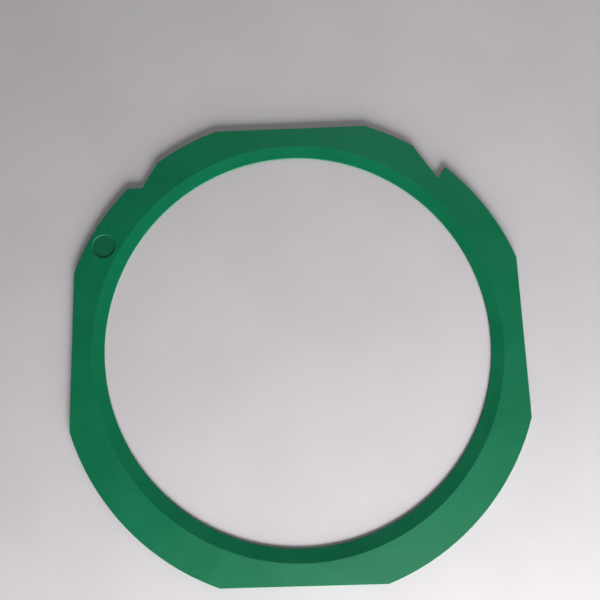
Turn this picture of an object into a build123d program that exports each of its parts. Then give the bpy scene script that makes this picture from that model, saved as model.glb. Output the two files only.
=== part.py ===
from build123d import *
from math import cos, radians, sin, tan
import os

# Wafer dicing frame: a flat ring moulded in one piece. Sticky tape is stretched across its
# underside, and the wafer sits on the tape in the middle of the round opening.
# Millimetres. The origin is the centre of the opening, on the flat underside. +Z points up,
# to the bevelled side. +Y points to the flat that lies between the two locating notches.

# Ring, from the opening outwards
OPENING_DIAMETER = 240.0
RING_WIDTH = 19.7              # from the edge of the opening to each of the four flats
SHOULDER_RISE = 8.3            # how far the round shoulders stand out past the flats
THICKNESS = 2.5

# Hollow bevel from the top face down to the lip at the opening
LIP_THICKNESS = 0.8
BEVEL_WIDTH = 7.3              # from the edge of the opening out to the flat top face
BEVEL_HOLLOW_RADIUS = 110.0
LIP_EDGE_CHAMFER = 0.15

# Locating notches: a step on the left and a vee on the right. A bearing is in degrees from
# +X towards +Y, and a depth runs from the shoulders' circle in to the notch's root.
STEP_NOTCH_BEARING = 133.2
STEP_NOTCH_DEPTH = 6.6
STEP_FLANK_ANGLE = 60.0        # of the slanted side, from the level ledge
VEE_NOTCH_BEARING = 47.15
VEE_NOTCH_DEPTH = 9.0
VEE_FLANK_ANGLE = 57.0         # of each side of the vee, from the level

# Shallow recess round the spot where the mould was filled, in the middle of the left shoulder
GATE_RECESS_BEARING = 151.6
GATE_RECESS_DIAMETER = 15.4
GATE_RECESS_DEPTH = 0.5
GATE_RECESS_WALL_ANGLE = 45.0  # of the wall, from the level

# Moulded edges
CORNER_RADIUS = 0.9            # every corner of the outline, seen from above
EDGE_RADIUS = 0.3              # upper and lower edges all round the outline

opening_radius = OPENING_DIAMETER / 2
flat_distance = opening_radius + RING_WIDTH
outer_radius = flat_distance + SHOULDER_RISE
bevel_top_radius = opening_radius + BEVEL_WIDTH
gate_recess_distance = (bevel_top_radius + outer_radius) / 2


def away(start, bearing, distance):
    """The point that lies at a distance from start, in the direction of a bearing."""
    return (start[0] + distance * cos(radians(bearing)), start[1] + distance * sin(radians(bearing)))


def notch(root_bearing, depth, first_side, second_side):
    """Cutter for a notch: two straight sides that leave its root at two bearings."""
    root = away((0, 0), root_bearing, outer_radius - depth)
    reach = outer_radius       # carries both sides out past the outline
    return Polygon(root, away(root, first_side, reach), away(root, second_side, reach), align=None)


def outline():
    """Circle with four flats and the two notches, with every corner rounded."""
    square = Rectangle(2 * flat_distance, 2 * flat_distance)
    step_notch = notch(STEP_NOTCH_BEARING, STEP_NOTCH_DEPTH, STEP_FLANK_ANGLE, 180)
    vee_notch = notch(VEE_NOTCH_BEARING, VEE_NOTCH_DEPTH, VEE_FLANK_ANGLE, 180 - VEE_FLANK_ANGLE)
    sharp = (Circle(outer_radius) & square) - step_notch - vee_notch
    return fillet(sharp.vertices(), CORNER_RADIUS)


def plate():
    """The outline at full thickness, with its upper and lower edges rounded."""
    blank = extrude(outline(), THICKNESS)
    rims = blank.faces().filter_by(Axis.Z).edges()
    return fillet(rims, EDGE_RADIUS)


def ring_section():
    """Half section of the ring: lip, hollow bevel and flat faces, carried out past the outline."""
    blank_radius = outer_radius + RING_WIDTH
    bevel_top = (bevel_top_radius, THICKNESS)
    lip_top = (opening_radius, LIP_THICKNESS)
    faces = Polyline(bevel_top, (blank_radius, THICKNESS), (blank_radius, 0), (opening_radius, 0), lip_top)
    bevel = RadiusArc(bevel_top, lip_top, BEVEL_HOLLOW_RADIUS)
    section = Plane.XZ * make_face(faces + bevel)
    lip_corners = section.vertices().group_by(Axis.X)[0]
    return chamfer(lip_corners, LIP_EDGE_CHAMFER)


def gate_recess():
    """Cutter for the round recess, with a sloping wall and a flat floor."""
    mouth_radius = GATE_RECESS_DIAMETER / 2
    floor_radius = mouth_radius - GATE_RECESS_DEPTH / tan(radians(GATE_RECESS_WALL_ANGLE))
    x, y = away((0, 0), GATE_RECESS_BEARING, gate_recess_distance)
    dish = Cone(floor_radius, mouth_radius, GATE_RECESS_DEPTH, align=(Align.CENTER, Align.CENTER, Align.MAX))
    return Pos(x, y, THICKNESS) * dish


def dicing_frame():
    ring = revolve(ring_section(), Axis.Z)
    return (ring & plate()) - gate_recess()


os.makedirs("parts", exist_ok=True)
frame = dicing_frame().solid()
frame.label = "dicing_frame"
export_step(frame, "parts/dicing_frame.step")
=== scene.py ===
from math import cos, radians, sin

import bpy
from mathutils import Euler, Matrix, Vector

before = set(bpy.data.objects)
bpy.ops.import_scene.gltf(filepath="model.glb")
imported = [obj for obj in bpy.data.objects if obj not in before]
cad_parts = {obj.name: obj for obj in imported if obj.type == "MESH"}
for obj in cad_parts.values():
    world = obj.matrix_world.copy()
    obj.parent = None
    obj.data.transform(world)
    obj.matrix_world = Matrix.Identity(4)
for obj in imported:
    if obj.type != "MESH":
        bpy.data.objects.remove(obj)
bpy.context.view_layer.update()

# The dressed wafer dicing frame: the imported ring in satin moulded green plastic, lying on a pale
# table and seen from straight above. Everything is in metres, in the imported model's own frame.

MM = 0.001

# Camera, held low over the opening
CAMERA_PLACE = Vector((6.686, -0.703, 282.204)) * MM
CAMERA_TURN = (radians(7.251), radians(0.932), radians(-1.943))
CAMERA_LENS = 27.0              # in mm, as the sensor's width is
CAMERA_SENSOR = 36.0
CAMERA_SHIFT_Y = -0.0224
CAMERA_CLIP = 0.01

# Soft lights aimed at the middle of the opening: azimuth, elevation, distance, width, height, power
LIGHTS = {
    "key": (-77.0, 16.5, 0.88, 0.75, 0.42, 16.2),
    "right_fill": (-20.0, 22.0, 0.60, 0.40, 0.40, 0.25),
    "far_fill": (75.0, 35.0, 1.10, 0.60, 0.60, 2.1),
}

# Pale surrounding, brightest at the skyline and nearly dark overhead
WORLD_COLOUR = (0.94, 0.94, 1.0, 1.0)
WORLD_HORIZON = 0.55
WORLD_OVERHEAD = 0.02
WORLD_FADE = 0.4                # sine of the elevation where the fading ends

# Noise runs from 0 to 1 but stays mostly in between: these are the spans that get stretched
NOISE_MIDDLE = (0.3, 0.7)
NOISE_CORE = (0.35, 0.65)
NOISE_DETAIL = 2.0

# Green plastic
GREEN_DEEP = (0.0010, 0.202, 0.084, 1.0)
GREEN_PALE = (0.0016, 0.224, 0.096, 1.0)
GREEN_CLOUD_SCALE = 26.0        # about 4 cm patches
GREEN_CLOUD_DETAIL = 3.0
GREEN_SPECKLE_SCALE = 1000.0
GREEN_SPECKLE = 0.045
GREEN_ROUGHNESS = (0.49, 0.56)
GREEN_ROUGHNESS_SCALE = 52.0
GREEN_ROUGHNESS_DETAIL = 4.0
GREEN_SPECULAR = 0.38
PEEL_SCALE = 290.0              # orange peel, about 3 mm
PEEL_HEIGHT = 0.035 * MM
GRAIN_SCALE = 1100.0            # satin grain, about 1 mm
GRAIN_HEIGHT = 0.03 * MM

# The bevel, and all else below the flat top face, is a little darker and smoother
BEVEL_DARKER = 0.07
BEVEL_SMOOTHER = 0.07
BEVEL_FADE = (2.35 * MM, 2.48 * MM)

# Moulding gate: the shallow round recess, darkened with painted shade, and the flow marks that fan
# out from it. These and the nick fade out below the upper half of the ring's height.
GATE_PLACE = Vector((-121.1, 65.5, 2.2)) * MM
GATE_RIM = (7.75 * MM, 7.9 * MM)
# Painted shade: how much darker the recess round the gate and its wall are drawn
GATE_PAINTED_SHADE = 0.15
GATE_ROUGHER = 0.23
FLOW_REACH = 45.0 * MM
FLOW_MARKS = 0.05
FLOW_COUNT = 5.0
UPPER_HALF = (1.0 * MM, 1.6 * MM)

# Handling marks
HAIRLINES = ((24.0, 0.70), (-57.0, 0.72))   # turn in degrees, share left clear
HAIRLINE_SIZE = (0.67 * MM, 22.0 * MM, 22.0 * MM)
HAIRLINE_EDGE = 0.06
HAIRLINE_TONE = 0.06
HAIRLINE_SHINE = 0.06
NICK_PLACE = Vector((-62.8, -130.1, 2.5)) * MM
NICK_TURN = radians(-14.0)
NICK_HALF = Vector((2.6, 0.45)) * MM
NICK_CORE = 0.3                 # share of each half that is fully pale
NICK_TONE = 0.5

# Table top
TABLE_RADIUS = 0.5
TABLE_SIDES = 128
TABLE_DROP = 0.00005            # keeps it clear of the ring's underside
TABLE_DULL = (0.836, 0.796, 0.824, 1.0)
TABLE_BRIGHT = (0.871, 0.832, 0.856, 1.0)
TABLE_CLOUD_SCALE = 14.0
TABLE_CLOUD_DETAIL = 5.0
TABLE_GRAIN_SCALE = 620.0
TABLE_GRAIN_DETAIL = 3.0
TABLE_GRAIN_HEIGHT = 0.03 * MM
TABLE_ROUGHNESS = (0.66, 0.78)


def node(tree, kind, **settings):
    """Adds a shader node and sets its properties and its plain inputs."""
    made = tree.nodes.new(kind)
    for name, value in settings.items():
        if name in made.inputs:
            made.inputs[name].default_value = value
        else:
            setattr(made, name, value)
    return made


def feed(tree, value, socket):
    """Links an output to a socket, or sets the socket to a plain value."""
    if isinstance(value, bpy.types.NodeSocket):
        tree.links.new(value, socket)
    else:
        socket.default_value = value


def maths(tree, operation, first, second):
    made = node(tree, "ShaderNodeMath", operation=operation)
    feed(tree, first, made.inputs[0])
    feed(tree, second, made.inputs[1])
    return made.outputs["Value"]


def vectors(tree, operation, first, second, output="Vector"):
    made = node(tree, "ShaderNodeVectorMath", operation=operation)
    feed(tree, first, made.inputs[0])
    feed(tree, second, made.inputs["Scale" if operation == "SCALE" else 1])
    return made.outputs[output]


def graded(tree, value, low, high, to_low, to_high):
    """Carries low..high smoothly over to to_low..to_high, and holds it outside."""
    made = node(tree, "ShaderNodeMapRange", interpolation_type="SMOOTHSTEP")
    for socket, number in zip(list(made.inputs)[1:5], (low, high, to_low, to_high)):
        socket.default_value = number
    feed(tree, value, made.inputs["Value"])
    return made.outputs["Result"]


def noise(tree, place, scale, detail=NOISE_DETAIL):
    made = node(tree, "ShaderNodeTexNoise", Scale=scale, Detail=detail)
    feed(tree, place, made.inputs["Vector"])
    return made.outputs["Fac"]


def blended(tree, factor, first, second):
    made = node(tree, "ShaderNodeMix", data_type="RGBA")
    colours = [socket for socket in made.inputs if socket.type == "RGBA"]
    feed(tree, factor, made.inputs["Factor"])
    feed(tree, first, colours[0])
    feed(tree, second, colours[1])
    return [socket for socket in made.outputs if socket.type == "RGBA"][0]


def bumped(tree, height, distance, below=None):
    made = node(tree, "ShaderNodeBump", Distance=distance)
    feed(tree, height, made.inputs["Height"])
    if below:
        feed(tree, below, made.inputs["Normal"])
    return made.outputs["Normal"]


def split(tree, vector):
    """The X, Y and Z outputs of a vector."""
    made = node(tree, "ShaderNodeSeparateXYZ")
    feed(tree, vector, made.inputs[0])
    return made.outputs


def new_material(name):
    material = bpy.data.materials.new(name)
    material.use_nodes = True
    tree = material.node_tree
    place = node(tree, "ShaderNodeTexCoord").outputs["Object"]
    return material, tree, tree.nodes["Principled BSDF"], place


def gate_distance(tree, place):
    return vectors(tree, "DISTANCE", place, GATE_PLACE, "Value")


def gate_recess(tree, place, upper):
    """One inside the recess round the gate and on its wall, zero elsewhere. It carries the recess's
    painted shade and its duller roughness.
    """
    inside = graded(tree, gate_distance(tree, place), *GATE_RIM, 1.0, 0.0)
    return maths(tree, "MULTIPLY", upper, inside)


def flow_marks(tree, place, upper):
    """Faint tone changes that fan out from the gate and fade with the distance."""
    away = vectors(tree, "SUBTRACT", place, GATE_PLACE)
    direction = vectors(tree, "NORMALIZE", away, (0, 0, 0))
    pattern = noise(tree, direction, FLOW_COUNT)
    fan = graded(tree, pattern, *NOISE_CORE, -FLOW_MARKS, FLOW_MARKS)
    distance = gate_distance(tree, place)
    reach = graded(tree, distance, GATE_RIM[1], FLOW_REACH, 1.0, 0.0)
    outside = graded(tree, distance, *GATE_RIM, 0.0, 1.0)
    marks = maths(tree, "MULTIPLY", fan, maths(tree, "MULTIPLY", reach, outside))
    return maths(tree, "MULTIPLY", marks, upper)


def hairlines(tree, place):
    """Sparse fine scratches in two directions."""
    total = 0.0
    for angle, clear in HAIRLINES:
        turned = node(tree, "ShaderNodeMapping", vector_type="TEXTURE",
                      Rotation=(0, 0, radians(angle)), Scale=HAIRLINE_SIZE)
        feed(tree, place, turned.inputs["Vector"])
        streaks = noise(tree, turned.outputs["Vector"], 1.0, 0.0)
        lines = graded(tree, streaks, clear, clear + HAIRLINE_EDGE, 0.0, 1.0)
        total = maths(tree, "ADD", total, lines)
    return total


def nick(tree, place):
    """One pale mark close to the outer edge."""
    moved = node(tree, "ShaderNodeMapping", vector_type="TEXTURE",
                 Location=NICK_PLACE, Rotation=(0, 0, NICK_TURN))
    feed(tree, place, moved.inputs["Vector"])
    parts = split(tree, moved.outputs["Vector"])
    mask = 1.0
    for axis, half in zip("XY", NICK_HALF):
        reach = maths(tree, "ABSOLUTE", parts[axis], 0.0)
        mask = maths(tree, "MULTIPLY", mask, graded(tree, reach, NICK_CORE * half, half, 1.0, 0.0))
    return mask


def green_tone(tree, place, height, upper, scratches, recess):
    """What the green is multiplied by: about one, with speckle, bevel, painted shade in the recess,
    and marks.
    """
    speckle = noise(tree, place, GREEN_SPECKLE_SCALE)
    tone = graded(tree, speckle, *NOISE_MIDDLE, 1 - GREEN_SPECKLE, 1 + GREEN_SPECKLE)
    tone = maths(tree, "ADD", tone, flow_marks(tree, place, upper))
    # Painted shade in the gate recess and on its wall
    tone = maths(tree, "SUBTRACT", tone, maths(tree, "MULTIPLY", recess, GATE_PAINTED_SHADE))
    tone = maths(tree, "SUBTRACT", tone, graded(tree, height, *BEVEL_FADE, BEVEL_DARKER, 0.0))
    tone = maths(tree, "ADD", tone, maths(tree, "MULTIPLY", scratches, HAIRLINE_TONE))
    mark = maths(tree, "MULTIPLY", nick(tree, place), upper)
    return maths(tree, "ADD", tone, maths(tree, "MULTIPLY", mark, NICK_TONE))


def green_roughness(tree, place, height, scratches, recess):
    """Patchy satin, shinier in the scratches and on the bevel, and duller in the recess."""
    patches = noise(tree, place, GREEN_ROUGHNESS_SCALE, GREEN_ROUGHNESS_DETAIL)
    satin = graded(tree, patches, *NOISE_MIDDLE, *GREEN_ROUGHNESS)
    satin = maths(tree, "SUBTRACT", satin, maths(tree, "MULTIPLY", scratches, HAIRLINE_SHINE))
    satin = maths(tree, "ADD", satin, maths(tree, "MULTIPLY", recess, GATE_ROUGHER))
    return maths(tree, "SUBTRACT", satin, graded(tree, height, *BEVEL_FADE, BEVEL_SMOOTHER, 0.0))


def green_plastic():
    material, tree, surface, place = new_material("green_plastic")
    surface.inputs["Specular IOR Level"].default_value = GREEN_SPECULAR
    height = split(tree, place)["Z"]
    upper = graded(tree, height, *UPPER_HALF, 0.0, 1.0)
    scratches = hairlines(tree, place)
    recess = gate_recess(tree, place, upper)

    cloud = noise(tree, place, GREEN_CLOUD_SCALE, GREEN_CLOUD_DETAIL)
    green = blended(tree, graded(tree, cloud, *NOISE_MIDDLE, 0.0, 1.0), GREEN_DEEP, GREEN_PALE)
    tone = green_tone(tree, place, height, upper, scratches, recess)
    feed(tree, vectors(tree, "SCALE", green, tone), surface.inputs["Base Color"])
    satin = green_roughness(tree, place, height, scratches, recess)
    feed(tree, satin, surface.inputs["Roughness"])

    peel = bumped(tree, noise(tree, place, PEEL_SCALE), PEEL_HEIGHT)
    grain = bumped(tree, noise(tree, place, GRAIN_SCALE), GRAIN_HEIGHT, peel)
    feed(tree, grain, surface.inputs["Normal"])
    return material


def table_top():
    material, tree, surface, place = new_material("table_top")
    patches = noise(tree, place, TABLE_CLOUD_SCALE, TABLE_CLOUD_DETAIL)
    cloud = graded(tree, patches, *NOISE_CORE, 0.0, 1.0)
    feed(tree, blended(tree, cloud, TABLE_DULL, TABLE_BRIGHT), surface.inputs["Base Color"])
    grain = noise(tree, place, TABLE_GRAIN_SCALE, TABLE_GRAIN_DETAIL)
    feed(tree, graded(tree, grain, *NOISE_MIDDLE, *TABLE_ROUGHNESS), surface.inputs["Roughness"])
    feed(tree, bumped(tree, grain, TABLE_GRAIN_HEIGHT), surface.inputs["Normal"])
    return material


def add_table():
    bpy.ops.mesh.primitive_circle_add(vertices=TABLE_SIDES, radius=TABLE_RADIUS,
                                      fill_type="NGON", location=(0, 0, -TABLE_DROP))
    table = bpy.context.object
    table.name = "table"
    table.data.materials.append(table_top())


def add_soft_light(name, azimuth, elevation, distance, width, height, power):
    """A rectangular area light, aimed at the middle of the opening."""
    data = bpy.data.lights.new(name, "AREA")
    data.shape = "RECTANGLE"
    data.size = width
    data.size_y = height
    data.energy = power
    light = bpy.data.objects.new(name, data)
    turn = radians(azimuth)
    rise = radians(elevation)
    place = distance * Vector((cos(rise) * cos(turn), cos(rise) * sin(turn), sin(rise)))
    light.location = place
    light.rotation_mode = "QUATERNION"
    light.rotation_quaternion = (-place).to_track_quat("-Z", "Y")
    bpy.context.scene.collection.objects.link(light)


def add_world():
    """The pale surrounding, graded by how high a direction points."""
    world = bpy.data.worlds.new("studio")
    world.use_nodes = True
    tree = world.node_tree
    height = split(tree, node(tree, "ShaderNodeTexCoord").outputs["Generated"])["Z"]
    strength = graded(tree, height, 0.0, WORLD_FADE, WORLD_HORIZON, WORLD_OVERHEAD)
    background = tree.nodes["Background"]
    background.inputs["Color"].default_value = WORLD_COLOUR
    feed(tree, strength, background.inputs["Strength"])
    bpy.context.scene.world = world


def add_camera():
    data = bpy.data.cameras.new("camera")
    data.sensor_width = CAMERA_SENSOR
    data.lens = CAMERA_LENS
    data.shift_y = CAMERA_SHIFT_Y
    data.clip_start = CAMERA_CLIP
    camera = bpy.data.objects.new("camera", data)
    camera.location = CAMERA_PLACE
    camera.rotation_euler = Euler(CAMERA_TURN, "XYZ")
    bpy.context.scene.collection.objects.link(camera)
    bpy.context.scene.camera = camera


def dress(cad_node, material):
    """Puts one material on every slot of a CAD node."""
    if not cad_node.material_slots:
        cad_node.data.materials.append(material)
    for material_slot in cad_node.material_slots:
        material_slot.material = material


add_camera()
add_world()
for light_name, light_setup in LIGHTS.items():
    add_soft_light(light_name, *light_setup)
add_table()
dress(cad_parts["dicing_frame"], green_plastic())
bpy.context.scene.view_settings.view_transform = "Standard"
